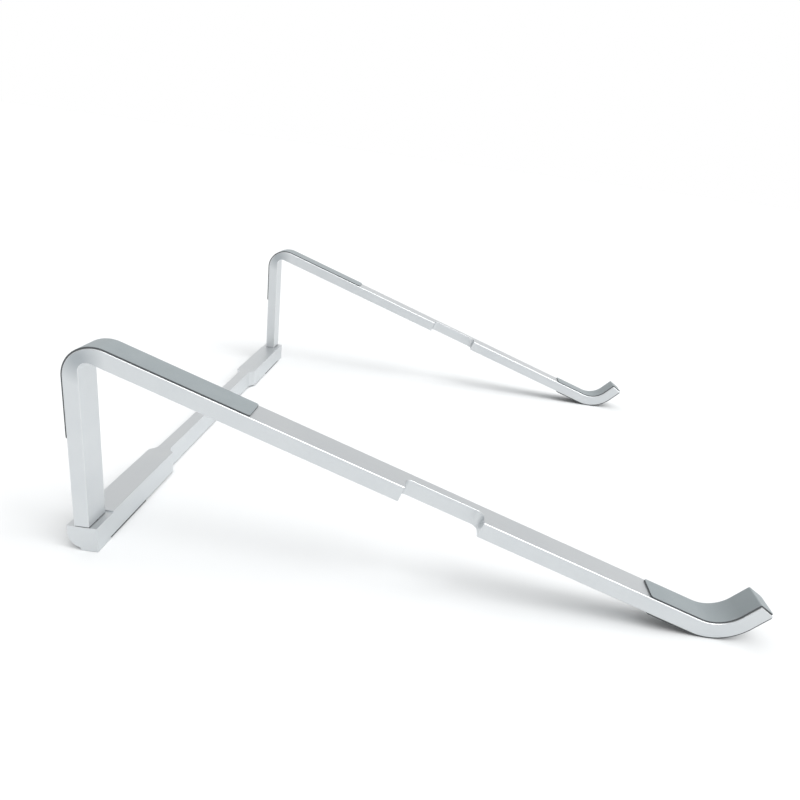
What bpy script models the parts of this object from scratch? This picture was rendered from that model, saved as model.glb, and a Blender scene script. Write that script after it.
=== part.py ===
"""Folding laptop stand: a rear crossbar that carries two identical bent arms.

Each arm is a flat bar: an upright leg, a tight bend, a long slope down to the
front and a hook that curls up. It stands on a pivot in one end of the
crossbar and swings inwards to lie along the crossbar's front. There the two
arms cross, side by side, in the notches milled in their slopes.

Run with: blender --background --python part.py
Metres, +Z up. The origin is on the desk, under the middle of the stand's
outer box. The user sits on the -Y side, and +X is to their right.
"""

import math

import bmesh
import bpy
from mathutils import Vector

MM = 0.001

# Layout
LEG_SPACING = 252.2 * MM  # between the two pivot axes
FOLD_ANGLE = math.radians(86.0)  # swing of an arm, from open to folded
PAD_THICKNESS = 0.45 * MM
PAD_GAP = 0.15 * MM  # between a pad and the metal that it is stuck to
METAL_BOTTOM = PAD_GAP + PAD_THICKNESS  # height of the hooks' metal over the desk

# Crossbar
END_DEPTH = 10.8 * MM
MIDDLE_DEPTH = 5.6 * MM
CROSSBAR_FOOT_THICKNESS = 0.9 * MM
CROSSBAR_BOTTOM = PAD_GAP + CROSSBAR_FOOT_THICKNESS
CROSSBAR_HEIGHT = 9.15 * MM
END_LENGTH = 68.0 * MM  # of each wide end
STEP_RADIUS = 7.0 * MM  # of the mill that narrows the middle
HEEL_RADIUS = 5.7 * MM  # rounding of the lower rear edge
CROSSBAR_TOP = CROSSBAR_BOTTOM + CROSSBAR_HEIGHT
SEAT_TOP = CROSSBAR_TOP - 0.5 * MM  # of the step at each end, which an arm's foot stands in
SEAT_REACH = 6.8 * MM  # from the pivot axis to the step's wall

# Arm
BAR_WIDTH = 12.0 * MM
BAR_THICKNESS = 5.9 * MM
LEG_DEPTH = 5.4 * MM
FOOT_GAP = 0.35 * MM  # seam between an arm's foot and its seat
FOOT_HEIGHT = SEAT_TOP + FOOT_GAP
CORNER_HEIGHT = 80.3 * MM  # where the leg's rear face and the slope's top would meet
SLOPE_ANGLE = math.radians(18.04)
BEND_OUTER = 10.9 * MM
BEND_INNER = 3.2 * MM
HOOK_OUTER = 19.5 * MM
HOOK_INNER = HOOK_OUTER - BAR_THICKNESS
HOOK_ANGLE = math.radians(46.5)  # climb of the hook's tip
TIP_LENGTH = 7.1 * MM  # of the straight inner face at the hook's tip
TIP_SLANT = 1.2 * MM  # how much further the outer face reaches
EDGE_CHAMFER = 0.25 * MM

# Notch in the slope, measured along it from the rear corner
NOTCH_MIDDLE = 135.5 * MM
NOTCH_LENGTH = 29.9 * MM
NOTCH_DEPTH = 7.2 * MM
NOTCH_FILLET = 2.6 * MM

# Silicone pads
PAD_WIDTH = 11.2 * MM
PAD_CORNER = 1.0 * MM
TIP_STRIP = 0.2 * MM  # of bare metal between the hook's two pads and its outer corner
TOP_PAD_LOW = 43.1 * MM  # height of its lower end, on the leg
TOP_PAD_END = 64.5 * MM  # along the slope
HOOK_PAD_START = 216.0 * MM  # along the slope
HOOK_FOOT_LEAD = 18.0 * MM  # straight stretch before the hook's arc
CROSSBAR_FOOT_START = 9.9 * MM  # from the crossbar's end
CROSSBAR_FOOT_LENGTH = 31.0 * MM
CROSSBAR_FOOT_WIDTH = 4.8 * MM
CROSSBAR_FOOT_INSET = 0.2 * MM  # from the crossbar's front face

# Pivot
RUNNING_GAP = 0.1 * MM
STUD_RADIUS = 1.5 * MM  # pin's upper part, in the leg
STUD_TOP = 22.0 * MM
SHOULDER_RADIUS = 2.0 * MM  # pin's lower part, in the crossbar
SHOULDER_TOP = FOOT_HEIGHT - RUNNING_GAP
PIN_BOTTOM = 4.6 * MM
KEY_FLAT = 1.55 * MM  # from the axis to each flat at the pin's lower end
BUSH_RADIUS = 2.7 * MM
RECESS_RADIUS = 3.45 * MM  # under the bush, open to below
RECESS_REACH = 4.3 * MM  # of the sector that the stop washer's tab swings in
RECESS_TOP = 6.2 * MM
STOP_RADIUS = 3.3 * MM
STOP_REACH = 4.15 * MM  # of its tab
STOP_THICKNESS = 0.9 * MM
TAB_HALF_ANGLE = math.radians(12.0)
TAB_CLEARANCE = math.radians(2.0)
WAVE_MIDDLE = 4.85 * MM
WAVE_THICKNESS = 0.2 * MM
WAVE_SWELL = 0.1 * MM
WAVES = 3
SCREW_HEAD_RADIUS = 3.0 * MM
SCREW_HEAD_LOW = 2.9 * MM
SCREW_HEAD_TOP = 4.45 * MM
SCREW_HEAD_EDGE = 0.3 * MM
SCREW_RADIUS = 1.0 * MM
SCREW_TOP = 9.8 * MM
SOCKET_RADIUS = 1.1 * MM
SOCKET_DEPTH = 0.9 * MM

ARC_STEP = math.radians(7.5)
ARM_STEP = math.radians(2.5)  # finer, for the arm's bend and hook
ROUND_SIDES = 32
CUT_MARGIN = 2.0 * MM  # how far a cutter sticks out of what it cuts

# Directions in an arm's own (y, z) plane
FORWARD = Vector((-math.cos(SLOPE_ANGLE), -math.sin(SLOPE_ANGLE)))
OUTWARD = Vector((-math.sin(SLOPE_ANGLE), math.cos(SLOPE_ANGLE)))
TIP_FORWARD = Vector((-math.cos(HOOK_ANGLE), math.sin(HOOK_ANGLE)))
TIP_INWARD = Vector((math.sin(HOOK_ANGLE), math.cos(HOOK_ANGLE)))

# The slope runs into each arc where the arc's radius is square to the slope
BEND_END = math.pi / 2 + SLOPE_ANGLE
HOOK_START = SLOPE_ANGLE - math.pi / 2
HOOK_END = -HOOK_ANGLE - math.pi / 2


def clear_scene():
    for item in list(bpy.data.objects):
        bpy.data.objects.remove(item, do_unlink=True)


def material(name, colour, roughness, metallic=0.0):
    made = bpy.data.materials.new(name)
    made.use_nodes = True
    shader = made.node_tree.nodes["Principled BSDF"]
    shader.inputs["Base Color"].default_value = (*colour, 1.0)
    shader.inputs["Roughness"].default_value = roughness
    shader.inputs["Metallic"].default_value = metallic
    made.diffuse_color = (*colour, 1.0)
    return made


def empty(name, location):
    made = bpy.data.objects.new(name, None)
    made.location = location
    bpy.context.collection.objects.link(made)
    return made


def add_object(name, shape, parent, finish=None):
    """Turn a bmesh into an object with its faces pointing out."""
    bmesh.ops.recalc_face_normals(shape, faces=shape.faces[:])
    mesh = bpy.data.meshes.new(name)
    shape.to_mesh(mesh)
    shape.free()
    mesh.shade_smooth()
    mesh.set_sharp_from_angle(angle=math.radians(30))
    if finish is not None:
        mesh.materials.append(finish)
    made = bpy.data.objects.new(name, mesh)
    made.parent = parent
    bpy.context.collection.objects.link(made)
    return made


def cut(target, name, shape):
    """Cut a bmesh out of an object; both are in the same parent's space."""
    cutter = add_object(f"{name}_cutter", shape, target.parent)
    cutter.hide_render = True
    cutter.display_type = "WIRE"
    modifier = target.modifiers.new(name, "BOOLEAN")
    modifier.operation = "DIFFERENCE"
    modifier.solver = "EXACT"
    modifier.object = cutter


def chamfer(target):
    modifier = target.modifiers.new("edges", "BEVEL")
    modifier.width = EDGE_CHAMFER
    modifier.segments = 1
    modifier.limit_method = "ANGLE"
    modifier.angle_limit = math.radians(40)


# Outlines


def arc(centre, radius, start, end, step=ARC_STEP):
    """Points on an arc from one angle to another, both ends included."""
    count = math.ceil(abs(end - start) / step)
    angles = [start + (end - start) * i / count for i in range(count + 1)]
    return [centre + radius * Vector((math.cos(a), math.sin(a))) for a in angles]


def circle(radius, sides=ROUND_SIDES):
    angles = [2 * math.pi * i / sides for i in range(sides)]
    return [radius * Vector((math.cos(a), math.sin(a))) for a in angles]


def keyed(radius, flat):
    """A round outline with two flats."""
    return [Vector((p.x, max(-flat, min(flat, p.y)))) for p in circle(radius)]


def tabbed(radius, reach, start, end):
    """A round outline that reaches further out between two angles."""
    origin = Vector((0.0, 0.0))
    return arc(origin, reach, start, end) + arc(origin, radius, end, start + 2 * math.pi)[:-1]


# Solids


def across(point, level):
    """A (y, z) outline's corner, at a level along X."""
    return Vector((level, point.x, point.y))


def upright(point, level):
    """An (x, y) outline's corner, at a level along Z."""
    return Vector((point.x, point.y, level))


def bridge(shape, ring, other):
    """Join two rings of the same length with quads."""
    for i in range(len(ring)):
        j = (i + 1) % len(ring)
        shape.faces.new((ring[i], other[i], other[j], ring[j]))


def loft(sections, place):
    """Skin a row of (outline, level) sections and close both ends."""
    shape = bmesh.new()
    rings = [[shape.verts.new(place(p, level)) for p in outline] for outline, level in sections]
    for ring, other in zip(rings, rings[1:]):
        bridge(shape, ring, other)
    shape.faces.new(rings[0])
    shape.faces.new(reversed(rings[-1]))
    return shape


def prism(outline, place, low, high):
    return loft(((outline, low), (outline, high)), place)


def block(half_x, half_y, low, high, x=0.0):
    corners = ((-half_x, -half_y), (half_x, -half_y), (half_x, half_y), (-half_x, half_y))
    return prism([Vector((x + dx, dy)) for dx, dy in corners], upright, low, high)


def cylinder(radius, low, high, x=0.0):
    outline = [Vector((x, 0.0)) + p for p in circle(radius)]
    return prism(outline, upright, low, high)


# The arm's lines, in its own (y, z) plane with y = 0 on the pivot axis

REAR_CORNER = Vector((LEG_DEPTH / 2, CORNER_HEIGHT))
UNDER_CORNER = REAR_CORNER - BAR_THICKNESS * OUTWARD


def bend_centre(line_point, face_y, radius):
    """Centre of the arc that touches an upright face and a line of the slope."""
    start = line_point - radius * OUTWARD
    return start + FORWARD * (start.x - (face_y - radius)) / math.cos(SLOPE_ANGLE)


def hook_centre():
    """Centre of the arc that runs on from the slope's underside and touches the feet."""
    start = UNDER_CORNER + HOOK_OUTER * OUTWARD
    drop = start.y - (METAL_BOTTOM + HOOK_OUTER)
    return start + FORWARD * drop / math.sin(SLOPE_ANGLE)


OUTER_BEND = bend_centre(REAR_CORNER, LEG_DEPTH / 2, BEND_OUTER)
INNER_BEND = bend_centre(UNDER_CORNER, -LEG_DEPTH / 2, BEND_INNER)
HOOK_CENTRE = hook_centre()
INNER_TIP = HOOK_CENTRE - HOOK_INNER * TIP_INWARD + TIP_LENGTH * TIP_FORWARD
OUTER_TIP = HOOK_CENTRE - HOOK_OUTER * TIP_INWARD + (TIP_LENGTH + TIP_SLANT) * TIP_FORWARD
END_ALONG = (OUTER_TIP - INNER_TIP).normalized()
END_FACING = Vector((END_ALONG.y, -END_ALONG.x))


def arm_outline():
    """The whole bar, with its foot left long."""
    return [
        Vector((LEG_DEPTH / 2, FOOT_HEIGHT - CUT_MARGIN)),
        *arc(OUTER_BEND, BEND_OUTER, 0.0, BEND_END, ARM_STEP),
        *arc(HOOK_CENTRE, HOOK_INNER, HOOK_START, HOOK_END, ARM_STEP),
        INNER_TIP,
        OUTER_TIP,
        *arc(HOOK_CENTRE, HOOK_OUTER, HOOK_END, HOOK_START, ARM_STEP),
        *arc(INNER_BEND, BEND_INNER, BEND_END, 0.0, ARM_STEP),
        Vector((-LEG_DEPTH / 2, FOOT_HEIGHT - CUT_MARGIN)),
    ]


def notch_shape():
    """What is milled out of the slope from its -X side."""
    side = -BAR_WIDTH / 2 - CUT_MARGIN
    flat = NOTCH_LENGTH / 2 - NOTCH_FILLET
    deep = NOTCH_DEPTH - BAR_WIDTH / 2 - NOTCH_FILLET
    outline = [
        Vector((-NOTCH_LENGTH / 2, side)),
        *arc(Vector((-flat, deep)), NOTCH_FILLET, math.pi, math.pi / 2),
        *arc(Vector((flat, deep)), NOTCH_FILLET, math.pi / 2, 0.0),
        Vector((NOTCH_LENGTH / 2, side)),
    ]

    def on_slope(point, level):
        spot = REAR_CORNER + (NOTCH_MIDDLE + point.x) * FORWARD + level * OUTWARD
        return across(spot, point.y)

    return prism(outline, on_slope, -BAR_THICKNESS - CUT_MARGIN, CUT_MARGIN)


def add_arm(side, swivel, finish):
    half = BAR_WIDTH / 2
    arm = add_object(f"{side}_arm", prism(arm_outline(), across, -half, half), swivel, finish)
    chamfer(arm)
    cut(arm, f"{side}_foot_end", block(BAR_WIDTH, BAR_WIDTH, 0.0, FOOT_HEIGHT))
    cut(arm, f"{side}_notch", notch_shape())
    low, high = FOOT_HEIGHT - CUT_MARGIN, STUD_TOP + RUNNING_GAP
    cut(arm, f"{side}_stud_bore", cylinder(STUD_RADIUS + RUNNING_GAP, low, high))


# Pads


def top_pad_line(height):
    """Up the leg's rear face, over the bend and along the slope."""
    foot = Vector((LEG_DEPTH / 2 + height, TOP_PAD_LOW))
    end = REAR_CORNER + height * OUTWARD + TOP_PAD_END * FORWARD
    return [
        foot,
        foot + Vector((0.0, PAD_CORNER)),
        *arc(OUTER_BEND, BEND_OUTER + height, 0.0, BEND_END, ARM_STEP),
        end - PAD_CORNER * FORWARD,
        end,
    ]


def hook_pad_line(height):
    """Down the slope's end, round inside the hook, over its tip and down its end face."""
    start = REAR_CORNER + height * OUTWARD + HOOK_PAD_START * FORWARD
    end = OUTER_TIP + height * END_FACING - TIP_STRIP * END_ALONG
    inner_facing = math.atan2(TIP_INWARD.y, TIP_INWARD.x)
    end_facing = math.atan2(END_FACING.y, END_FACING.x)
    return [
        start,
        start + PAD_CORNER * FORWARD,
        *arc(HOOK_CENTRE, HOOK_INNER - height, HOOK_START, HOOK_END, ARM_STEP),
        *arc(INNER_TIP, height, inner_facing, end_facing),
        end - PAD_CORNER * END_ALONG,
        end,
    ]


def hook_foot_line(height):
    """Under the slope's end and round the outside of the hook, to its tip."""
    start = HOOK_CENTRE - (HOOK_OUTER + height) * OUTWARD - HOOK_FOOT_LEAD * FORWARD
    end = OUTER_TIP - height * TIP_INWARD - TIP_STRIP * TIP_FORWARD
    return [
        start,
        start + PAD_CORNER * FORWARD,
        *arc(HOOK_CENTRE, HOOK_OUTER + height, HOOK_START, HOOK_END, ARM_STEP),
        end - PAD_CORNER * TIP_FORWARD,
        end,
    ]


def pad_shape(line):
    """A pad that follows the arm, with the corners of its two ends taken off."""
    inner, outer = line(PAD_GAP), line(METAL_BOTTOM)
    last = len(inner) - 1
    sections = []
    for i, (near, far) in enumerate(zip(inner, outer)):
        half = PAD_WIDTH / 2 - (PAD_CORNER if i in (0, last) else 0.0)
        corners = ((near, -half), (near, half), (far, half), (far, -half))
        sections.append(([across(p, x) for p, x in corners], None))
    return loft(sections, lambda corner, _: corner)


def add_arm_pads(side, swivel, finish):
    lines = {"top_pad": top_pad_line, "hook_pad": hook_pad_line, "hook_foot": hook_foot_line}
    for name, line in lines.items():
        add_object(f"{side}_{name}", pad_shape(line), swivel, finish)


def add_crossbar_foot(side, sign, parent, finish):
    """A flat strip under one wide end, along the crossbar's front edge."""
    outer = (LEG_SPACING + BAR_WIDTH) / 2 - CROSSBAR_FOOT_START
    inner = outer - CROSSBAR_FOOT_LENGTH
    front = CROSSBAR_FOOT_INSET - END_DEPTH / 2
    rear = front + CROSSBAR_FOOT_WIDTH
    corner = PAD_CORNER
    outline = [
        *arc(Vector((outer - corner, rear - corner)), corner, 0.0, math.pi / 2),
        *arc(Vector((inner + corner, rear - corner)), corner, math.pi / 2, math.pi),
        *arc(Vector((inner + corner, front + corner)), corner, math.pi, 1.5 * math.pi),
        *arc(Vector((outer - corner, front + corner)), corner, 1.5 * math.pi, 2 * math.pi),
    ]
    outline = [Vector((sign * p.x, p.y)) for p in outline]
    shape = prism(outline, upright, 0.0, CROSSBAR_FOOT_THICKNESS)
    add_object(f"{side}_crossbar_foot", shape, parent, finish)


# Crossbar


def crossbar_outline():
    """From above: wide ends, and a middle narrowed from the front and the rear."""
    end_x = (LEG_SPACING + BAR_WIDTH) / 2
    wide, narrow = END_DEPTH / 2, MIDDLE_DEPTH / 2
    step_start = math.asin(1 - (wide - narrow) / STEP_RADIUS)
    step_x = end_x - END_LENGTH - STEP_RADIUS * math.cos(step_start)
    step_centre = Vector((step_x, -narrow - STEP_RADIUS))
    quarter = [Vector((end_x, -wide)), *arc(step_centre, STEP_RADIUS, step_start, math.pi / 2)]
    front = quarter + [Vector((-p.x, p.y)) for p in reversed(quarter)]
    return front + [Vector((p.x, -p.y)) for p in reversed(front)]


def heel_shape():
    """What is taken off to round the crossbar's lower rear edge."""
    centre = Vector((END_DEPTH / 2 - HEEL_RADIUS, CROSSBAR_BOTTOM + HEEL_RADIUS))
    rear = END_DEPTH / 2 + CUT_MARGIN
    outline = [
        Vector((centre.x, CROSSBAR_BOTTOM - CUT_MARGIN)),
        *arc(centre, HEEL_RADIUS, -math.pi / 2, 0.0),
        Vector((rear, centre.y)),
        Vector((rear, CROSSBAR_BOTTOM - CUT_MARGIN)),
    ]
    return prism(outline, across, -LEG_SPACING, LEG_SPACING)


def seat_shape(x, sign):
    """What is taken off the top of one end, from the step's wall outwards."""
    beyond = BAR_WIDTH  # further out than the crossbar's end
    middle = x + sign * (beyond - SEAT_REACH) / 2
    half_length = (beyond + SEAT_REACH) / 2
    return block(half_length, END_DEPTH, SEAT_TOP, CROSSBAR_TOP + CUT_MARGIN, middle)


def recess_shape(x):
    """The round pocket under a bush, with a sector at the front for the stop's tab."""
    half = FOLD_ANGLE / 2 + TAB_HALF_ANGLE + TAB_CLEARANCE
    facing = -math.pi / 2
    outline = tabbed(RECESS_RADIUS, RECESS_REACH, facing - half, facing + half)
    outline = [Vector((x, 0.0)) + p for p in outline]
    return prism(outline, upright, CROSSBAR_BOTTOM - CUT_MARGIN, RECESS_TOP)


def add_crossbar(parent, finish):
    shape = prism(crossbar_outline(), upright, CROSSBAR_BOTTOM, CROSSBAR_TOP)
    bar = add_object("crossbar", shape, parent, finish)
    chamfer(bar)
    cut(bar, "heel", heel_shape())
    for side, sign in (("left", -1), ("right", 1)):
        x = sign * LEG_SPACING / 2
        cut(bar, f"{side}_seat", seat_shape(x, sign))
        cut(bar, f"{side}_recess", recess_shape(x))
        low, high = RECESS_TOP - CUT_MARGIN, CROSSBAR_TOP + CUT_MARGIN
        cut(bar, f"{side}_bore", cylinder(BUSH_RADIUS + RUNNING_GAP, low, high, x))


# Pivot pieces


def add_pin(side, swivel, finish):
    """A shouldered stud whose lower end is keyed and drilled for the screw."""
    key = keyed(SHOULDER_RADIUS, KEY_FLAT)
    key_top = RECESS_TOP
    sections = (
        (key, PIN_BOTTOM),
        (key, key_top),
        (circle(SHOULDER_RADIUS), key_top + RUNNING_GAP),
        (circle(SHOULDER_RADIUS), SHOULDER_TOP),
        (circle(STUD_RADIUS), SHOULDER_TOP),
        (circle(STUD_RADIUS), STUD_TOP),
    )
    pin = add_object(f"{side}_pivot_pin", loft(sections, upright), swivel, finish)
    low, high = PIN_BOTTOM - CUT_MARGIN, SCREW_TOP + RUNNING_GAP
    cut(pin, f"{side}_thread", cylinder(SCREW_RADIUS + RUNNING_GAP, low, high))


def add_bush(side, socket, finish):
    """A plain sleeve in the crossbar's bore."""
    low, high = RECESS_TOP + RUNNING_GAP, SEAT_TOP
    bush = add_object(f"{side}_pivot_bush", cylinder(BUSH_RADIUS, low, high), socket, finish)
    bore = cylinder(SHOULDER_RADIUS + RUNNING_GAP, low - CUT_MARGIN, high + CUT_MARGIN)
    cut(bush, f"{side}_bush_bore", bore)


def add_thrust_plate(side, swivel, finish):
    """A thin sheet the size of the arm's foot, which slides on the seat."""
    x, y = BAR_WIDTH / 2 - EDGE_CHAMFER, LEG_DEPTH / 2 - EDGE_CHAMFER
    low, high = SEAT_TOP + RUNNING_GAP, FOOT_HEIGHT - RUNNING_GAP
    plate = add_object(f"{side}_thrust_plate", block(x, y, low, high), swivel, finish)
    hole = cylinder(SHOULDER_RADIUS + RUNNING_GAP, low - CUT_MARGIN, high + CUT_MARGIN)
    cut(plate, f"{side}_plate_hole", hole)


def add_stop_washer(side, turn, swivel, finish):
    """A washer keyed on the pin; its tab meets the recess at both ends of the swing."""
    middle = -math.pi / 2 - turn * FOLD_ANGLE / 2
    outline = tabbed(STOP_RADIUS, STOP_REACH, middle - TAB_HALF_ANGLE, middle + TAB_HALF_ANGLE)
    high = RECESS_TOP - RUNNING_GAP
    low = high - STOP_THICKNESS
    washer = add_object(f"{side}_stop_washer", prism(outline, upright, low, high), swivel, finish)
    hole = keyed(SHOULDER_RADIUS + RUNNING_GAP, KEY_FLAT + RUNNING_GAP)
    cut(washer, f"{side}_key_hole", prism(hole, upright, low - CUT_MARGIN, high + CUT_MARGIN))


def add_wave_washer(side, swivel, finish):
    """A thin spring ring whose waves press the pivot together."""
    inner, outer = SHOULDER_RADIUS + 2 * RUNNING_GAP, STOP_RADIUS
    half = WAVE_THICKNESS / 2
    shape = bmesh.new()
    rings = []
    for point in circle(1.0):
        middle = WAVE_MIDDLE + WAVE_SWELL * math.sin(WAVES * math.atan2(point.y, point.x))
        corners = ((inner, -half), (outer, -half), (outer, half), (inner, half))
        rings.append([shape.verts.new(upright(r * point, middle + z)) for r, z in corners])
    for i, ring in enumerate(rings):
        bridge(shape, ring, rings[(i + 1) % len(rings)])
    add_object(f"{side}_wave_washer", shape, swivel, finish)


def add_screw(side, swivel, finish):
    """A flat-headed screw with a hexagon socket, head down."""
    sections = (
        (circle(SCREW_HEAD_RADIUS - SCREW_HEAD_EDGE), SCREW_HEAD_LOW),
        (circle(SCREW_HEAD_RADIUS), SCREW_HEAD_LOW + SCREW_HEAD_EDGE),
        (circle(SCREW_HEAD_RADIUS), SCREW_HEAD_TOP),
        (circle(SCREW_RADIUS), SCREW_HEAD_TOP),
        (circle(SCREW_RADIUS), SCREW_TOP),
    )
    screw = add_object(f"{side}_pivot_screw", loft(sections, upright), swivel, finish)
    low, high = SCREW_HEAD_LOW - CUT_MARGIN, SCREW_HEAD_LOW + SOCKET_DEPTH
    socket = prism(circle(SOCKET_RADIUS, sides=6), upright, low, high)
    cut(screw, f"{side}_screw_socket", socket)


def build():
    clear_scene()
    aluminium = material("bead_blasted_aluminium", (0.62, 0.64, 0.66), 0.38, 1.0)
    silicone = material("grey_silicone", (0.36, 0.39, 0.40), 0.65)
    steel = material("plain_steel", (0.55, 0.55, 0.56), 0.3, 1.0)
    acetal = material("black_acetal", (0.03, 0.03, 0.03), 0.5)
    # The crossbar lies as far behind the origin as the hooks reach in front of it
    front, rear = hook_foot_line(METAL_BOTTOM)[-1].x, END_DEPTH / 2
    crossbar_y = -(front + rear) / 2
    base = empty("base", (0.0, crossbar_y, 0.0))
    add_crossbar(base, aluminium)
    for side, sign in (("left", -1), ("right", 1)):
        add_crossbar_foot(side, sign, base, silicone)
        place = (sign * LEG_SPACING / 2, crossbar_y, 0.0)
        socket = empty(f"{side}_socket", place)
        add_bush(side, socket, acetal)
        swivel = empty(f"{side}_swivel", place)
        add_arm(side, swivel, aluminium)
        add_arm_pads(side, swivel, silicone)
        add_pin(side, swivel, steel)
        add_thrust_plate(side, swivel, acetal)
        add_stop_washer(side, -sign, swivel, steel)
        add_wave_washer(side, swivel, steel)
        add_screw(side, swivel, steel)


build()
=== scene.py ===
"""Looks of the folding laptop stand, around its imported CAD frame.

The frame gives each piece's place and moving body. This script makes the fine
surface: bead-blasted aluminium arms and crossbar with bright cut bevels,
silicone pads with rounded corners, and the steel and plastic of the pivots.
Everything is in metres, with +Z up and the user on the -Y side.
"""

import math

import bmesh
import bpy
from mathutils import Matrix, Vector


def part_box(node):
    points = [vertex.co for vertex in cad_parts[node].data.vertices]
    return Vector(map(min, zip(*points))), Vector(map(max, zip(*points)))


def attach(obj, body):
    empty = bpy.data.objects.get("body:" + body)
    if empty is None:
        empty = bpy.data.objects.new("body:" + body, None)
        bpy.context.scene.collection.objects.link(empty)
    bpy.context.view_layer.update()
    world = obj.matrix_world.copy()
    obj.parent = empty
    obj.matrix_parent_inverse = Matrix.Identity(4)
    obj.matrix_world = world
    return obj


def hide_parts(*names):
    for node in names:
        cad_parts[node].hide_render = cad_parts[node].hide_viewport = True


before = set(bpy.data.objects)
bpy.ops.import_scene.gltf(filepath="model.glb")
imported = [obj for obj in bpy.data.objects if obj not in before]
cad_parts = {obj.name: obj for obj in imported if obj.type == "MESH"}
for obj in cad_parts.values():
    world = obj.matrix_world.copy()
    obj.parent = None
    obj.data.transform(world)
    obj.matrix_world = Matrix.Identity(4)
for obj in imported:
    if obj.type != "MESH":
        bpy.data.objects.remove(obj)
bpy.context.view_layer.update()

MM = 0.001
SIDES = ("left", "right")

# Sizes that the frame gives
CROSSBAR_LOW, CROSSBAR_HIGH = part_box("crossbar")
ARM_LOW, ARM_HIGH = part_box("left_arm")
CROSSBAR_Y = (CROSSBAR_LOW.y + CROSSBAR_HIGH.y) / 2
BAR_WIDTH = ARM_HIGH.x - ARM_LOW.x
AXIS_X = {side: sum(p.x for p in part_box(f"{side}_arm")) / 2 for side in SIDES}
LEG_DEPTH = 2 * (ARM_HIGH.y - CROSSBAR_Y)
SEAM = 0.02 * MM  # between an arm's foot and its thrust plate
FOOT_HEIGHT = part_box("left_thrust_plate")[1].z + SEAM
CROSSBAR_BOTTOM = CROSSBAR_LOW.z
PAD_LOW, PAD_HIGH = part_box("left_top_pad")
PAD_WIDTH = PAD_HIGH.x - PAD_LOW.x

# Shape of an arm, seen from the side
BAR_THICKNESS = 5.9 * MM
CORNER_HEIGHT = 80.3 * MM
SLOPE_ANGLE = math.radians(18.04)
BEND_OUTER = 10.9 * MM
BEND_INNER = 3.2 * MM
HOOK_OUTER = 19.5 * MM
HOOK_BOTTOM = 0.6 * MM  # height of its metal over the desk
HOOK_INNER = HOOK_OUTER - BAR_THICKNESS
HOOK_ANGLE = math.radians(46.5)
TIP_LENGTH = 7.1 * MM
TIP_SLANT = 1.2 * MM
EDGE_BEVEL = 0.15 * MM  # along the bar's long edges, bright from the cutter
RIM_BEVEL = 0.06 * MM  # round the notch, which is cut after the long edges' bevel
NOTCH_MIDDLE = 135.5 * MM  # along the slope from the rear corner
NOTCH_LENGTH = 29.9 * MM
NOTCH_DEPTH = 7.2 * MM
NOTCH_FILLET = 2.6 * MM
STUD_BORE_RADIUS = 1.6 * MM
STUD_BORE_TOP = 22.1 * MM

# Painted shade on an arm's sides near the inner bend, standing in for the shading of the bar's
# slight bulge there
BEND_SHADE_OFFSET = 5.2 * MM  # of its middle, from the inner bend's centre
BEND_SHADE_REACH = (1.5 * MM, 9.0 * MM)  # from its middle: still full, and gone
BEND_SHADE_TONE = (0.42, 0.45, 0.47)
SIDE_FACING = (0.9, 0.98)  # X of a normal: not yet a side face, and wholly one

# Pads
PAD_FILM = 0.02 * MM  # between a pad and its metal
PAD_SKIN = 0.6 * MM  # from the metal to a pad's outer face
PAD_CORNER = 1.0 * MM
PAD_ROUNDING = 0.14 * MM
TOP_PAD_END = 64.5 * MM
HOOK_PAD_START = 216.0 * MM
HOOK_FOOT_LEAD = 18.0 * MM  # length under the slope, before the hook's bend
TIP_STRIP = 0.2 * MM  # of bare metal on both sides of the hook's outer tip edge

# Crossbar
MIDDLE_DEPTH = 5.6 * MM
END_LENGTH = 68.0 * MM
STEP_RADIUS = 7.0 * MM
HEEL_RADIUS = 5.7 * MM
CROSSBAR_BEVEL = 0.3 * MM
SEAT_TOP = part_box("left_pivot_bush")[1].z
SEAT_REACH = 6.8 * MM  # from a pivot's axis to the seat's wall
BUSH_BORE_RADIUS = 2.8 * MM
POCKET_RADIUS = 3.45 * MM
POCKET_TOP = 6.2 * MM
STOP_SECTOR_RADIUS = 4.3 * MM
STOP_SECTOR_HALF = math.radians(57)
BOSS_BOTTOM = 0.15 * MM
BOSS_LENGTH = 9.7 * MM
BOSS_DEPTH = 6.3 * MM
BOSS_INSET = 0.02 * MM  # from the crossbar's end and front faces

# Studio light: directions point towards the light
HORIZON_BAND = (0.25, 0.5, 0.7, 0.0)  # heights of a unit direction, and their strengths
SOFT_LIGHTS = (  # direction, narrowness, strength
    ((0.0, 1.0, 0.5), 2.0, 0.28),
    ((1.0, 0.0, 0.5), 2.0, 0.40),
    ((0.0, 0.0, 1.0), 3.0, 1.19),
)
SEEN_SKY = 1.0  # the sky's strength where the camera sees it: plain white
KEY_LIGHTS = (((-0.15, -1.1, 1.0), 1.25), ((-0.5, -0.4, 1.0), 1.25))  # direction, energy
KEY_ANGLE = math.radians(40)
FLOOR_REACH = 60.0  # to each side, far past what any view shows

# Camera, at the photo's viewing angle
LENS = 30.39
SENSOR_WIDTH = 36.0
CAMERA_SHIFT = (-0.0253, 0.0511)
CAMERA_CLIP = (0.01, 200.0)
CAMERA_PLACE = (-0.3345, -0.1165, 0.1446)  # from the middle of the pivots' line
CAMERA_TURN = (67.25, -7.16, -86.56)

# How finely curves are stepped, and where edges count as sharp
BEND_STEP = math.radians(1.5)
CROSSBAR_STEP = math.radians(3)
BORE_STEP = math.radians(6)
POCKET_STEP = math.radians(8)
CORNER_STEP = math.radians(15)  # of the pads' corners and the hook's tip
OUTLINE_TURN = math.radians(40)  # sharp enough to bevel on a bar's outline
PAD_TURN = math.radians(50)
RIM_TURN = math.radians(60)
SMOOTH_TURN = math.radians(30)
CUT_MARGIN = 2.0 * MM
WELD_DISTANCE = 0.001 * MM

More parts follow.
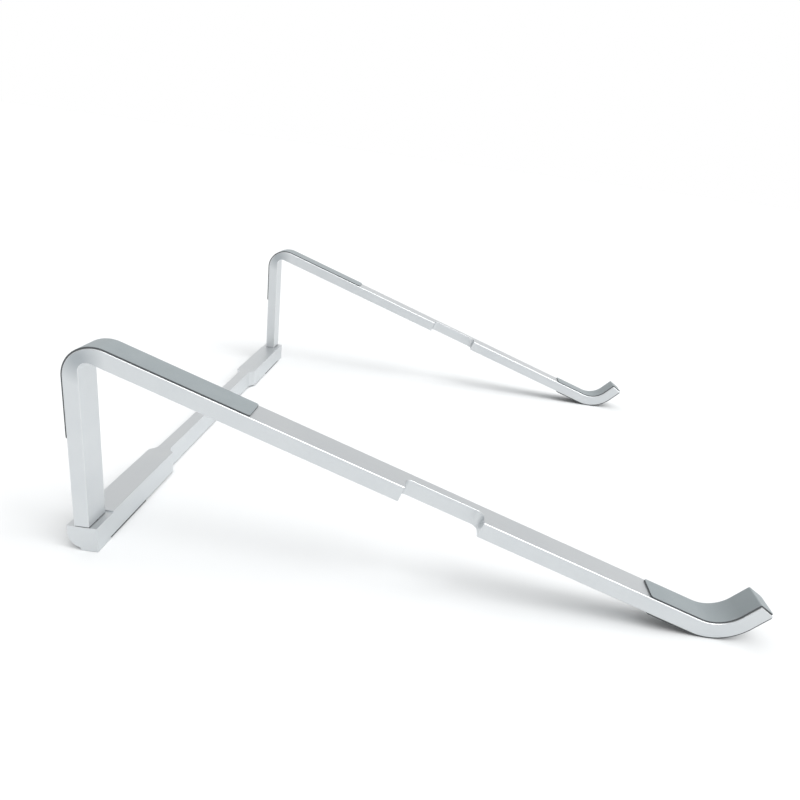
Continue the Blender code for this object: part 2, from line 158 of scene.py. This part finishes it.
# Directions and centres in an arm's (y, z) plane
FORWARD = Vector((-math.cos(SLOPE_ANGLE), -math.sin(SLOPE_ANGLE)))
OUTWARD = Vector((-math.sin(SLOPE_ANGLE), math.cos(SLOPE_ANGLE)))
TIP_FORWARD = Vector((-math.cos(HOOK_ANGLE), math.sin(HOOK_ANGLE)))
TIP_INWARD = Vector((math.sin(HOOK_ANGLE), math.cos(HOOK_ANGLE)))
BEND_END = math.pi / 2 + SLOPE_ANGLE
HOOK_START = SLOPE_ANGLE - math.pi / 2
HOOK_END = -HOOK_ANGLE - math.pi / 2
REAR_CORNER = Vector((LEG_DEPTH / 2, CORNER_HEIGHT))
UNDER_CORNER = REAR_CORNER - BAR_THICKNESS * OUTWARD


def bend_centre(line_point, face_y, radius):
    """Centre of the arc that touches an upright face and a line of the slope."""
    start = line_point - radius * OUTWARD
    return start + FORWARD * (start.x - (face_y - radius)) / math.cos(SLOPE_ANGLE)


OUTER_BEND = bend_centre(REAR_CORNER, LEG_DEPTH / 2, BEND_OUTER)
INNER_BEND = bend_centre(UNDER_CORNER, -LEG_DEPTH / 2, BEND_INNER)


# ---------------------------------------------------------------- materials


def add_node(tree, kind, **settings):
    made = tree.nodes.new(kind)
    for key, value in settings.items():
        setattr(made, key, value)
    return made


class Shader:
    """A Principled material with short ways to add and join nodes."""

    def __init__(self, name, colour, roughness, metallic=0.0, **constants):
        self.material = bpy.data.materials.new(name)
        self.material.use_nodes = True
        self.tree = self.material.node_tree
        self.main = self.tree.nodes["Principled BSDF"]
        self.main.inputs["Base Color"].default_value = (*colour, 1.0)
        self.main.inputs["Roughness"].default_value = roughness
        self.main.inputs["Metallic"].default_value = metallic
        for socket, value in constants.items():
            self.main.inputs[socket.replace("_", " ")].default_value = value
        self.place = self.node("ShaderNodeTexCoord").outputs["Object"]

    def node(self, kind, **settings):
        return add_node(self.tree, kind, **settings)

    def link(self, source, target):
        self.tree.links.new(source, target)

    def stretched(self, scale):
        """Object coordinates, scaled by a different amount on each axis."""
        mapping = self.node("ShaderNodeMapping")
        mapping.inputs["Scale"].default_value = scale
        self.link(self.place, mapping.inputs["Vector"])
        return mapping.outputs["Vector"]

    def noise(self, scale, detail=2.0, roughness=0.5, vector=None):
        """A noise value, of scale features a metre."""
        made = self.node("ShaderNodeTexNoise")
        made.inputs["Scale"].default_value = scale
        made.inputs["Detail"].default_value = detail
        made.inputs["Roughness"].default_value = roughness
        self.link(vector or self.place, made.inputs["Vector"])
        return made.outputs["Fac"]

    def ranged(self, value, low, high, source=(0.3, 0.7)):
        """Map a source range, by default most of a noise's spread, to low and high."""
        made = self.node("ShaderNodeMapRange")
        made.inputs["From Min"].default_value = source[0]
        made.inputs["From Max"].default_value = source[1]
        made.inputs["To Min"].default_value = low
        made.inputs["To Max"].default_value = high
        self.link(value, made.inputs["Value"])
        return made.outputs["Result"]

    def tinted(self, value, first, second):
        """Colour that runs between two tones as a value goes from 0 to 1."""
        made = self.node("ShaderNodeMix", data_type="RGBA")
        made.inputs["A"].default_value = (*first, 1.0)
        made.inputs["B"].default_value = (*second, 1.0)
        self.link(value, made.inputs["Factor"])
        self.link(made.outputs["Result"], self.main.inputs["Base Color"])

    def darkened(self, value, colour):
        """Take the tone made so far to another colour as a value goes from 0 to 1."""
        under = self.main.inputs["Base Color"].links[0].from_socket
        made = self.node("ShaderNodeMix", data_type="RGBA")
        made.inputs["B"].default_value = (*colour, 1.0)
        self.link(value, made.inputs["Factor"])
        self.link(under, made.inputs["A"])
        self.link(made.outputs["Result"], self.main.inputs["Base Color"])

    def rough(self, value):
        self.link(value, self.main.inputs["Roughness"])

    def bump(self, *layers):
        """Stack bump layers of (height, strength, distance)."""
        normal = None
        for height, strength, distance in layers:
            made = self.node("ShaderNodeBump")
            made.inputs["Strength"].default_value = strength
            made.inputs["Distance"].default_value = distance
            self.link(height, made.inputs["Height"])
            if normal is not None:
                self.link(normal, made.inputs["Normal"])
            normal = made.outputs["Normal"]
        self.link(normal, self.main.inputs["Normal"])


def bend_shade_mask(made):
    """Mask of painted shade: 1 on an arm's side faces near the inner bend, and 0 elsewhere."""
    middle_way = Vector((math.cos(BEND_END / 2), math.sin(BEND_END / 2)))
    centre = INNER_BEND + BEND_SHADE_OFFSET * middle_way
    offset = made.node("ShaderNodeVectorMath", operation="SUBTRACT")
    offset.inputs[1].default_value = (0.0, centre.x, centre.y)
    made.link(made.place, offset.inputs[0])
    in_plane = made.node("ShaderNodeVectorMath", operation="MULTIPLY")
    in_plane.inputs[1].default_value = (0.0, 1.0, 1.0)
    made.link(offset.outputs["Vector"], in_plane.inputs[0])
    distance = made.node("ShaderNodeVectorMath", operation="LENGTH")
    made.link(in_plane.outputs["Vector"], distance.inputs[0])
    close = made.ranged(distance.outputs["Value"], 1.0, 0.0, BEND_SHADE_REACH)
    facing = made.node("ShaderNodeSeparateXYZ")
    made.link(made.node("ShaderNodeTexCoord").outputs["Normal"], facing.inputs["Vector"])
    sideways = made.node("ShaderNodeMath", operation="ABSOLUTE")
    made.link(facing.outputs["X"], sideways.inputs[0])
    flat = made.ranged(sideways.outputs["Value"], 0.0, 1.0, SIDE_FACING)
    both = made.node("ShaderNodeMath", operation="MULTIPLY")
    made.link(close, both.inputs[0])
    made.link(flat, both.inputs[1])
    return both.outputs["Value"]


def blasted_aluminium():
    """Clear-anodised aluminium with a fine bead-blasted grain, and painted shade on an arm's
    sides near its inner bend.
    """
    made = Shader("visual_blasted_aluminium", (0.66, 0.68, 0.69), roughness=0.42, metallic=1.0)
    grain = made.noise(5200.0, detail=3.0, roughness=0.65)
    clouds = made.noise(55.0, detail=3.0)
    made.tinted(made.ranged(clouds, 0.0, 1.0), (0.648, 0.672, 0.688), (0.672, 0.694, 0.706))
    # Painted shade: darker side faces near an arm's inner bend
    made.darkened(bend_shade_mask(made), BEND_SHADE_TONE)
    made.rough(made.ranged(grain, 0.36, 0.50))
    pits = made.node("ShaderNodeTexVoronoi", feature="SMOOTH_F1")
    pits.inputs["Scale"].default_value = 3600.0
    made.link(made.place, pits.inputs["Vector"])
    made.bump((pits.outputs["Distance"], 0.10, 0.00004), (grain, 0.12, 0.00003))
    return made.material


def cut_aluminium():
    """The same metal where a cutter has left a bright, fine-lined bevel."""
    made = Shader("visual_cut_aluminium", (0.72, 0.735, 0.745), roughness=0.36, metallic=1.0)
    lines = made.noise(60.0, vector=made.stretched((4.0, 40.0, 40.0)))
    made.rough(made.ranged(lines, 0.32, 0.40))
    made.bump((lines, 0.04, 0.00002))
    return made.material


def silicone():
    """Matt grey silicone with a fine skin and a little dust in its tone."""
    made = Shader("visual_silicone", (0.25, 0.28, 0.29), roughness=0.5, Specular_IOR_Level=0.5)
    skin = made.noise(2600.0, detail=3.0, roughness=0.6)
    clouds = made.noise(90.0, detail=3.0, roughness=0.55)
    made.tinted(made.ranged(clouds, 0.0, 1.0), (0.240, 0.272, 0.284), (0.264, 0.296, 0.308))
    made.rough(made.ranged(skin, 0.42, 0.56))
    made.bump((skin, 0.16, 0.00004), (clouds, 0.05, 0.0001))
    return made.material


def shaded_silicone():
    """A darker copy of the silicone: painted shade on the pads' sides and ends and on the
    feet, against the sheen on the pads' tops.
    """
    tone = (0.095, 0.102, 0.107)
    made = Shader("visual_cut_silicone", tone, roughness=0.6, Specular_IOR_Level=0.3)
    grain = made.noise(1800.0)
    made.tinted(made.ranged(grain, 0.0, 1.0), (0.086, 0.093, 0.098), (0.104, 0.111, 0.116))
    made.rough(made.ranged(grain, 0.55, 0.70))
    made.bump((grain, 0.1, 0.00003))
    return made.material


def turned_steel():
    """Plain steel with turning marks."""
    made = Shader("visual_turned_steel", (0.50, 0.50, 0.51), roughness=0.3, metallic=1.0)
    marks = made.noise(900.0, vector=made.stretched((1.0, 1.0, 9.0)))
    clouds = made.noise(400.0)
    made.tinted(made.ranged(clouds, 0.0, 1.0), (0.46, 0.46, 0.47), (0.55, 0.55, 0.56))
    made.rough(made.ranged(marks, 0.24, 0.38))
    made.bump((marks, 0.12, 0.00003))
    return made.material


def black_acetal():
    """Black low-friction plastic with faint machining marks."""
    made = Shader("visual_black_acetal", (0.022, 0.022, 0.024), roughness=0.45)
    marks = made.noise(1500.0)
    made.tinted(made.ranged(marks, 0.0, 1.0), (0.018, 0.018, 0.020), (0.030, 0.030, 0.033))
    made.rough(made.ranged(marks, 0.38, 0.52))
    made.bump((marks, 0.08, 0.00003))
    return made.material


# ------------------------------------------------------------------- shapes


def arc(centre, radius, start, end, step=BEND_STEP):
    """Points on an arc from one angle to another, both ends included."""
    count = math.ceil(abs(end - start) / step)
    angles = [start + (end - start) * i / count for i in range(count + 1)]
    return [centre + radius * Vector((math.cos(a), math.sin(a))) for a in angles]


def across(point, level):
    """A (y, z) outline's corner, at a level along X."""
    return Vector((level, point.x, point.y))


def upright(point, level):
    """An (x, y) outline's corner, at a level along Z."""
    return Vector((point.x, point.y, level))


def prism(outline, place, low, high):
    """A solid between two levels; place gives an outline's corner at a level."""
    shape = bmesh.new()
    rings = [[shape.verts.new(place(p, level)) for p in outline] for level in (low, high)]
    shape.faces.new(rings[0])
    shape.faces.new(reversed(rings[1]))
    for i in range(len(outline)):
        j = (i + 1) % len(outline)
        shape.faces.new((rings[0][i], rings[1][i], rings[1][j], rings[0][j]))
    return shape


def as_object(name, shape, place):
    """An object at a place, with its mesh's faces pointing out."""
    bmesh.ops.recalc_face_normals(shape, faces=shape.faces[:])
    mesh = bpy.data.meshes.new(name)
    shape.to_mesh(mesh)
    shape.free()
    made = bpy.data.objects.new(name, mesh)
    made.location = place
    bpy.context.scene.collection.objects.link(made)
    return made


def block(half_x, half_y, low, high, x=0.0):
    """A box that stands around an upright axis at x."""
    corners = ((-half_x, -half_y), (half_x, -half_y), (half_x, half_y), (-half_x, half_y))
    return prism([Vector((x + dx, dy)) for dx, dy in corners], upright, low, high)


def cylinder(radius, low, high, x=0.0):
    """A round bar around an upright axis at x."""
    outline = arc(Vector((x, 0.0)), radius, 0.0, 2 * math.pi, BORE_STEP)[:-1]
    return prism(outline, upright, low, high)


def bevel(target, width, segments, above, material=-1):
    """Bevel the edges that turn by more than an angle; -1 keeps the faces' material."""
    modifier = target.modifiers.new("bevel", "BEVEL")
    modifier.width = width
    modifier.segments = segments
    modifier.limit_method = "ANGLE"
    modifier.angle_limit = above
    modifier.material = material


def cut(target, shape, operation="DIFFERENCE"):
    """Take a shape off a target, or add it; settle applies that and drops the cutter."""
    cutter = as_object("cutter", shape, target.location)
    modifier = target.modifiers.new("cut", "BOOLEAN")
    modifier.operation = operation
    modifier.solver = "EXACT"
    modifier.object = cutter
    return cutter


def settle(target, materials, cutters=()):
    """Give the materials, apply the modifiers, drop the cutters and shade smooth."""
    for material in materials:
        target.data.materials.append(material)
    bpy.context.view_layer.update()
    evaluated = target.evaluated_get(bpy.context.evaluated_depsgraph_get())
    mesh = bpy.data.meshes.new_from_object(evaluated)
    target.modifiers.clear()
    target.data = mesh
    for cutter in cutters:
        bpy.data.objects.remove(cutter, do_unlink=True)
    mesh.shade_smooth()
    mesh.set_sharp_from_angle(angle=SMOOTH_TURN)
    flat = target.modifiers.new("flat_faces", "WEIGHTED_NORMAL")
    flat.keep_sharp = True


def finish_piece(piece, body, nodes):
    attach(piece, body)
    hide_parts(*nodes)


# --------------------------------------------------------------------- arms


def hook_centre():
    """Centre of the arc that runs on from the slope's underside, down to the hook's bottom."""
    start = UNDER_CORNER + HOOK_OUTER * OUTWARD
    drop = start.y - (HOOK_BOTTOM + HOOK_OUTER)
    return start + FORWARD * drop / math.sin(SLOPE_ANGLE)


HOOK_CENTRE = hook_centre()
INNER_TIP = HOOK_CENTRE - HOOK_INNER * TIP_INWARD + TIP_LENGTH * TIP_FORWARD
OUTER_TIP = HOOK_CENTRE - HOOK_OUTER * TIP_INWARD + (TIP_LENGTH + TIP_SLANT) * TIP_FORWARD
END_ALONG = (OUTER_TIP - INNER_TIP).normalized()
END_FACING = Vector((END_ALONG.y, -END_ALONG.x))


def arm_outline():
    """The whole bar, with its foot left long."""
    return [
        Vector((LEG_DEPTH / 2, FOOT_HEIGHT - CUT_MARGIN)),
        *arc(OUTER_BEND, BEND_OUTER, 0.0, BEND_END),
        *arc(HOOK_CENTRE, HOOK_INNER, HOOK_START, HOOK_END),
        INNER_TIP,
        OUTER_TIP,
        *arc(HOOK_CENTRE, HOOK_OUTER, HOOK_END, HOOK_START),
        *arc(INNER_BEND, BEND_INNER, BEND_END, 0.0),
        Vector((-LEG_DEPTH / 2, FOOT_HEIGHT - CUT_MARGIN)),
    ]


def notch_shape():
    """What is milled out of the slope from its -X side."""
    side = -BAR_WIDTH / 2 - CUT_MARGIN
    flat = NOTCH_LENGTH / 2 - NOTCH_FILLET
    deep = NOTCH_DEPTH - BAR_WIDTH / 2 - NOTCH_FILLET
    outline = [
        Vector((-NOTCH_LENGTH / 2, side)),
        *arc(Vector((-flat, deep)), NOTCH_FILLET, math.pi, math.pi / 2, BORE_STEP),
        *arc(Vector((flat, deep)), NOTCH_FILLET, math.pi / 2, 0.0, BORE_STEP),
        Vector((NOTCH_LENGTH / 2, side)),
    ]

    def on_slope(point, level):
        spot = REAR_CORNER + (NOTCH_MIDDLE + point.x) * FORWARD + level * OUTWARD
        return across(spot, point.y)

    return prism(outline, on_slope, -BAR_THICKNESS - CUT_MARGIN, CUT_MARGIN)


def add_arm(side, metal, bright):
    place = (AXIS_X[side], CROSSBAR_Y, 0.0)
    half = BAR_WIDTH / 2
    arm = as_object(f"{side}_arm_bar", prism(arm_outline(), across, -half, half), place)
    bevel(arm, EDGE_BEVEL, 1, OUTLINE_TURN, material=1)
    cutters = [cut(arm, notch_shape())]
    bevel(arm, RIM_BEVEL, 1, RIM_TURN, material=1)
    cutters.append(cut(arm, block(BAR_WIDTH, BAR_WIDTH, 0.0, FOOT_HEIGHT)))
    bore = cylinder(STUD_BORE_RADIUS, FOOT_HEIGHT - CUT_MARGIN, STUD_BORE_TOP)
    cutters.append(cut(arm, bore))
    settle(arm, [metal, bright], cutters)
    finish_piece(arm, f"{side}_side", [f"{side}_arm"])


# --------------------------------------------------------------------- pads


def top_pad_line(height):
    """Up the leg's rear face, over the bend and along the slope."""
    foot = Vector((LEG_DEPTH / 2 + height, PAD_LOW.z))
    end = REAR_CORNER + height * OUTWARD + TOP_PAD_END * FORWARD
    return [foot, *arc(OUTER_BEND, BEND_OUTER + height, 0.0, BEND_END), end]


def hook_pad_line(height):
    """Down the slope's end, round inside the hook, over its tip and down its end face."""
    start = REAR_CORNER + height * OUTWARD + HOOK_PAD_START * FORWARD
    end = OUTER_TIP + height * END_FACING - TIP_STRIP * END_ALONG
    inner_facing = math.atan2(TIP_INWARD.y, TIP_INWARD.x)
    end_facing = math.atan2(END_FACING.y, END_FACING.x)
    return [
        start,
        *arc(HOOK_CENTRE, HOOK_INNER - height, HOOK_START, HOOK_END),
        *arc(INNER_TIP, height, inner_facing, end_facing, CORNER_STEP),
        end,
    ]


def hook_foot_line(height):
    """Under the slope's end and round the outside of the hook, to its tip."""
    start = HOOK_CENTRE - (HOOK_OUTER + height) * OUTWARD - HOOK_FOOT_LEAD * FORWARD
    end = OUTER_TIP - height * TIP_INWARD - TIP_STRIP * TIP_FORWARD
    return [start, *arc(HOOK_CENTRE, HOOK_OUTER + height, HOOK_START, HOOK_END), end]


def rounded_ends(near, far):
    """Both lines with steps added at their two ends, and each step's inset from the sides."""
    count = round(math.pi / 2 / CORNER_STEP)
    steps = [math.pi / 2 * i / count for i in range(count + 1)]
    insets = [PAD_CORNER * (1 - math.sin(a)) for a in steps]
    runs = [PAD_CORNER * (1 - math.cos(a)) for a in steps]
    rows = []
    for line in (near, far):
        first = (line[1] - line[0]).normalized()
        last = (line[-2] - line[-1]).normalized()
        head = [line[0] + first * run for run in runs]
        tail = [line[-1] + last * run for run in reversed(runs)]
        rows.append(head + line[1:-1] + tail)
    middle = [0.0] * (len(near) - 2)
    return rows[0], rows[1], insets + middle + list(reversed(insets))


def pad_shape(line):
    """A pad that follows the arm, with rounded corners at its two ends."""
    near, far, insets = rounded_ends(line(PAD_FILM), line(PAD_SKIN))
    shape = bmesh.new()
    rings = []
    for low, high, inset in zip(near, far, insets):
        half = PAD_WIDTH / 2 - inset
        corners = ((low, -half), (low, half), (high, half), (high, -half))
        rings.append([shape.verts.new(across(p, x)) for p, x in corners])
    for ring, other in zip(rings, rings[1:]):
        for i in range(4):
            j = (i + 1) % 4
            face = shape.faces.new((ring[i], other[i], other[j], ring[j]))
            # the sides take the darker silicone with its painted shade, the top and underside
            # the grey
            face.material_index = i % 2
    # the ends take the darker silicone with its painted shade too
    for end in (rings[0], reversed(rings[-1])):
        shape.faces.new(end).material_index = 1
    return shape


def add_arm_pads(side, rubber, shaded_rubber):
    place = (AXIS_X[side], CROSSBAR_Y, 0.0)
    lines = (
        ("top_pad", top_pad_line, rubber),
        ("hook_pad", hook_pad_line, rubber),
        # The hook's foot is wholly in the darker silicone with its painted shade
        ("hook_foot", hook_foot_line, shaded_rubber),
    )
    for name, line, face_rubber in lines:
        pad = as_object(f"{side}_{name}_skin", pad_shape(line), place)
        bevel(pad, PAD_ROUNDING, 2, PAD_TURN)
        settle(pad, [face_rubber, shaded_rubber])
        finish_piece(pad, f"{side}_side", [f"{side}_{name}"])


def add_crossbar_foot(side, shaded_rubber):
    low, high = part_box(f"{side}_crossbar_foot")
    corners = (
        (high.x, high.y, 0.0),
        (low.x, high.y, math.pi / 2),
        (low.x, low.y, math.pi),
        (high.x, low.y, 1.5 * math.pi),
    )
    outline = []
    for x, y, start in corners:
        inward = Vector((math.cos(start + math.pi / 4), math.sin(start + math.pi / 4)))
        centre = Vector((x, y)) - inward * PAD_CORNER * math.sqrt(2)
        outline += arc(centre, PAD_CORNER, start, start + math.pi / 2, CORNER_STEP)
    shape = prism(outline, upright, 0.0, CROSSBAR_BOTTOM - PAD_FILM)
    pad = as_object(f"{side}_crossbar_foot_skin", shape, (0.0, 0.0, 0.0))
    bevel(pad, PAD_ROUNDING, 2, PAD_TURN)
    # The foot is wholly in the darker silicone with its painted shade
    settle(pad, [shaded_rubber])
    finish_piece(pad, "base", [f"{side}_crossbar_foot"])


# ----------------------------------------------------------------- crossbar


def crossbar_outline():
    """From above: wide ends, and a middle narrowed from the front and the rear."""
    end_x = CROSSBAR_HIGH.x
    wide = (CROSSBAR_HIGH.y - CROSSBAR_LOW.y) / 2
    narrow = MIDDLE_DEPTH / 2
    step_start = math.asin(1 - (wide - narrow) / STEP_RADIUS)
    step_x = end_x - END_LENGTH - STEP_RADIUS * math.cos(step_start)
    step_centre = Vector((step_x, -narrow - STEP_RADIUS))
    step = arc(step_centre, STEP_RADIUS, step_start, math.pi / 2, CROSSBAR_STEP)
    quarter = [Vector((end_x, -wide)), *step]
    front = quarter + [Vector((-p.x, p.y)) for p in reversed(quarter)]
    return front + [Vector((p.x, -p.y)) for p in reversed(front)]


def heel_shape():
    """What is taken off to round the crossbar's lower rear edge."""
    wide = (CROSSBAR_HIGH.y - CROSSBAR_LOW.y) / 2
    centre = Vector((wide - HEEL_RADIUS, CROSSBAR_BOTTOM + HEEL_RADIUS))
    outline = [
        Vector((centre.x, CROSSBAR_BOTTOM - CUT_MARGIN)),
        *arc(centre, HEEL_RADIUS, -math.pi / 2, 0.0, CROSSBAR_STEP),
        Vector((wide + CUT_MARGIN, centre.y)),
        Vector((wide + CUT_MARGIN, CROSSBAR_BOTTOM - CUT_MARGIN)),
    ]
    reach = CROSSBAR_HIGH.x + CUT_MARGIN
    return prism(outline, across, -reach, reach)


def pivot_pocket(x):
    """The pocket under a pivot, with a sector at the front for the stop's tab."""
    centre = Vector((x, 0.0))
    first = -math.pi / 2 - STOP_SECTOR_HALF
    last = -math.pi / 2 + STOP_SECTOR_HALF
    sector = arc(centre, STOP_SECTOR_RADIUS, first, last, POCKET_STEP)
    rest = arc(centre, POCKET_RADIUS, last, first + 2 * math.pi, POCKET_STEP)[:-1]
    return prism(sector + rest, upright, CROSSBAR_BOTTOM - CUT_MARGIN, POCKET_TOP)


def seat_shape(x):
    """What is taken off the top of one end, from the step's wall outwards."""
    beyond = BAR_WIDTH  # further out than the crossbar's end
    middle = x + math.copysign((beyond - SEAT_REACH) / 2, x)
    half_length = (beyond + SEAT_REACH) / 2
    return block(half_length, BAR_WIDTH, SEAT_TOP, CROSSBAR_HIGH.z + CUT_MARGIN, middle)


def boss_shape(x):
    """The low step under one end, at the front, that brings its metal down to the desk."""
    end = math.copysign(CROSSBAR_HIGH.x - BOSS_INSET, x)
    inner = math.copysign(CROSSBAR_HIGH.x - BOSS_LENGTH, x)
    front = (CROSSBAR_LOW.y - CROSSBAR_HIGH.y) / 2 + BOSS_INSET
    rear = front + BOSS_DEPTH
    corners = ((inner, front), (end, front), (end, rear), (inner, rear))
    outline = [Vector(corner) for corner in corners]
    return prism(outline, upright, BOSS_BOTTOM, CROSSBAR_BOTTOM + CUT_MARGIN)


def add_crossbar(metal):
    shape = prism(crossbar_outline(), upright, CROSSBAR_BOTTOM, CROSSBAR_HIGH.z)
    bar = as_object("crossbar_bar", shape, (0.0, CROSSBAR_Y, 0.0))
    cutters = [cut(bar, heel_shape())]
    bevel(bar, CROSSBAR_BEVEL, 2, OUTLINE_TURN)
    for side in SIDES:
        x = AXIS_X[side]
        cutters.append(cut(bar, boss_shape(x), "UNION"))
        cutters.append(cut(bar, seat_shape(x)))
        cutters.append(cut(bar, pivot_pocket(x)))
        bore = cylinder(BUSH_BORE_RADIUS, CROSSBAR_BOTTOM, CROSSBAR_HIGH.z, x)
        cutters.append(cut(bar, bore))
    settle(bar, [metal], cutters)
    finish_piece(bar, "base", ["crossbar"])


# ------------------------------------------------------------- pivot pieces


def smooth_frame_node(name, material):
    """Join a frame node's loose triangles, shade it smooth and give it a material."""
    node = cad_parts[name]
    node.data.shade_smooth()
    weld = node.modifiers.new("weld", "WELD")
    weld.merge_threshold = WELD_DISTANCE
    split = node.modifiers.new("split", "EDGE_SPLIT")
    split.split_angle = SMOOTH_TURN
    for slot in node.material_slots:
        slot.material = material


def finish_pivots(steel, plastic):
    for side in SIDES:
        for name in ("pivot_pin", "stop_washer", "wave_washer", "pivot_screw"):
            smooth_frame_node(f"{side}_{name}", steel)
        for name in ("pivot_bush", "thrust_plate"):
            smooth_frame_node(f"{side}_{name}", plastic)


# ------------------------------------------------------------ studio, camera


def add_floor():
    shape = bmesh.new()
    bmesh.ops.create_grid(shape, x_segments=1, y_segments=1, size=FLOOR_REACH)
    floor = as_object("studio_floor", shape, (0.0, 0.0, 0.0))
    tone = (0.792, 0.803, 0.808)
    made = Shader("visual_studio_floor", tone, roughness=0.8, Specular_IOR_Level=0.0)
    made.rough(made.ranged(made.noise(30.0), 0.78, 0.86))
    floor.data.materials.append(made.material)


def add_sky():
    """A glow at the horizon with broad soft lights, and plain white for the camera."""
    world = bpy.data.worlds.new("studio")
    world.use_nodes = True
    bpy.context.scene.world = world
    tree, links = world.node_tree, world.node_tree.links
    place = add_node(tree, "ShaderNodeTexCoord").outputs["Generated"]
    split = add_node(tree, "ShaderNodeSeparateXYZ")
    band = add_node(tree, "ShaderNodeMapRange", interpolation_type="SMOOTHSTEP")
    links.new(place, split.inputs["Vector"])
    links.new(split.outputs["Z"], band.inputs["Value"])
    for socket, value in zip(("From Min", "From Max", "To Min", "To Max"), HORIZON_BAND):
        band.inputs[socket].default_value = value
    total = band.outputs["Result"]
    for direction, power, strength in SOFT_LIGHTS:
        facing = add_node(tree, "ShaderNodeVectorMath", operation="DOT_PRODUCT")
        facing.inputs[1].default_value = Vector(direction).normalized()
        lit = add_node(tree, "ShaderNodeMath", operation="MAXIMUM")
        lit.inputs[1].default_value = 0.0
        spread = add_node(tree, "ShaderNodeMath", operation="POWER")
        spread.inputs[1].default_value = power
        added = add_node(tree, "ShaderNodeMath", operation="MULTIPLY_ADD")
        added.inputs[1].default_value = strength
        links.new(place, facing.inputs[0])
        links.new(facing.outputs["Value"], lit.inputs[0])
        links.new(lit.outputs["Value"], spread.inputs[0])
        links.new(spread.outputs["Value"], added.inputs[0])
        links.new(total, added.inputs[2])
        total = added.outputs["Value"]
    camera_ray = add_node(tree, "ShaderNodeLightPath").outputs["Is Camera Ray"]
    seen = add_node(tree, "ShaderNodeMix", data_type="FLOAT")
    seen.inputs["B"].default_value = SEEN_SKY
    links.new(camera_ray, seen.inputs["Factor"])
    links.new(total, seen.inputs["A"])
    background = tree.nodes["Background"]
    background.inputs["Color"].default_value = (1.0, 1.0, 1.0, 1.0)
    links.new(seen.outputs["Result"], background.inputs["Strength"])


def add_key_lights():
    """Two broad soft lights overhead, from the front and from the left."""
    for i, (direction, energy) in enumerate(KEY_LIGHTS):
        data = bpy.data.lights.new(f"key_{i}", "SUN")
        data.energy = energy
        data.angle = KEY_ANGLE
        light = bpy.data.objects.new(f"key_{i}", data)
        light.rotation_mode = "QUATERNION"
        light.rotation_quaternion = Vector(direction).to_track_quat("Z", "Y")
        bpy.context.scene.collection.objects.link(light)


def add_camera():
    data = bpy.data.cameras.new("camera")
    data.lens = LENS
    data.sensor_width = SENSOR_WIDTH
    data.shift_x, data.shift_y = CAMERA_SHIFT
    data.clip_start, data.clip_end = CAMERA_CLIP
    camera = bpy.data.objects.new("camera", data)
    x, y, z = CAMERA_PLACE
    camera.location = (x, CROSSBAR_Y + y, z)
    camera.rotation_euler = [math.radians(angle) for angle in CAMERA_TURN]
    bpy.context.scene.collection.objects.link(camera)
    bpy.context.scene.camera = camera


def build():
    metal, bright = blasted_aluminium(), cut_aluminium()
    # The second silicone is a darker copy, with painted shade for the pads' edges and the feet
    rubber, shaded_rubber = silicone(), shaded_silicone()
    steel, plastic = turned_steel(), black_acetal()
    add_crossbar(metal)
    for side in SIDES:
        add_arm(side, metal, bright)
        add_arm_pads(side, rubber, shaded_rubber)
        add_crossbar_foot(side, shaded_rubber)
    finish_pivots(steel, plastic)
    add_floor()
    add_sky()
    add_key_lights()
    add_camera()
    bpy.context.scene.view_settings.view_transform = "Standard"


build()
